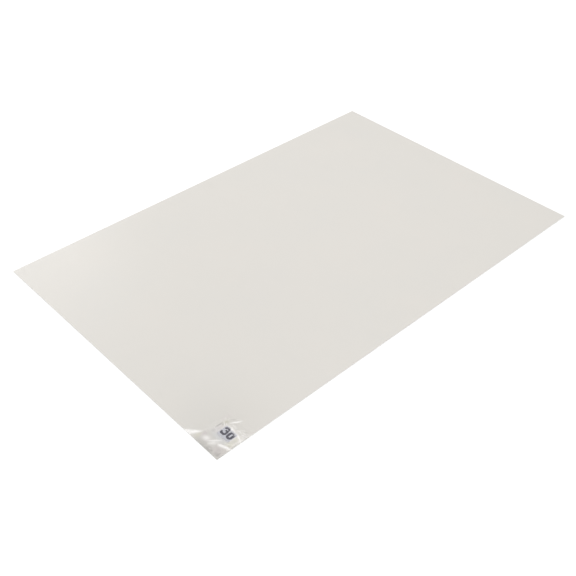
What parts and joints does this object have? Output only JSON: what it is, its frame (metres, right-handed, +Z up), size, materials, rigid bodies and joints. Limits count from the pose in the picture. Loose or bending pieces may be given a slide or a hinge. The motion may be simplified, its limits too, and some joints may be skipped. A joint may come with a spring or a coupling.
{
  "type": "cleanroom sticky mat",
  "caption": "Thin rectangular floor mat of peel-off tacky film sheets with a number label under one corner, for taking dust off soles and wheels at a clean room door.",
  "frame": {"origin": "centre of the mat's underside, on the floor", "axes": "+X along the long edge, +Y along the short edge, +Z up out of the tacky face; the number labels are in the -X, -Y corner"},
  "size_m": [0.9144, 0.6096, 0.0029],
  "materials": {
    "tacky_film": "satin, clear film with a milky adhesive coat",
    "number_label": "matte printed film label",
    "release_liner": "smooth release film"
  },
  "bodies": {
    "root": {"release_liner": "release_liner", "sheet_01": "tacky_film", "sheet_02": "tacky_film", "sheet_03": "tacky_film", "sheet_04": "tacky_film", "sheet_05": "tacky_film", "sheet_06": "tacky_film", "sheet_07": "tacky_film", "sheet_08": "tacky_film", "sheet_09": "tacky_film", "sheet_10": "tacky_film", "sheet_11": "tacky_film", "sheet_12": "tacky_film", "sheet_13": "tacky_film", "sheet_14": "tacky_film", "sheet_15": "tacky_film", "sheet_16": "tacky_film", "sheet_17": "tacky_film", "sheet_18": "tacky_film", "sheet_19": "tacky_film", "sheet_20": "tacky_film", "sheet_21": "tacky_film", "sheet_22": "tacky_film", "sheet_23": "tacky_film", "sheet_24": "tacky_film", "sheet_25": "tacky_film", "sheet_26": "tacky_film", "sheet_27": "tacky_film", "sheet_28": "tacky_film", "sheet_29": "tacky_film", "sheet_30": "tacky_film", "number_label_top": "number_label", "number_labels_below": "number_label"}
  },
  "joints": []
}
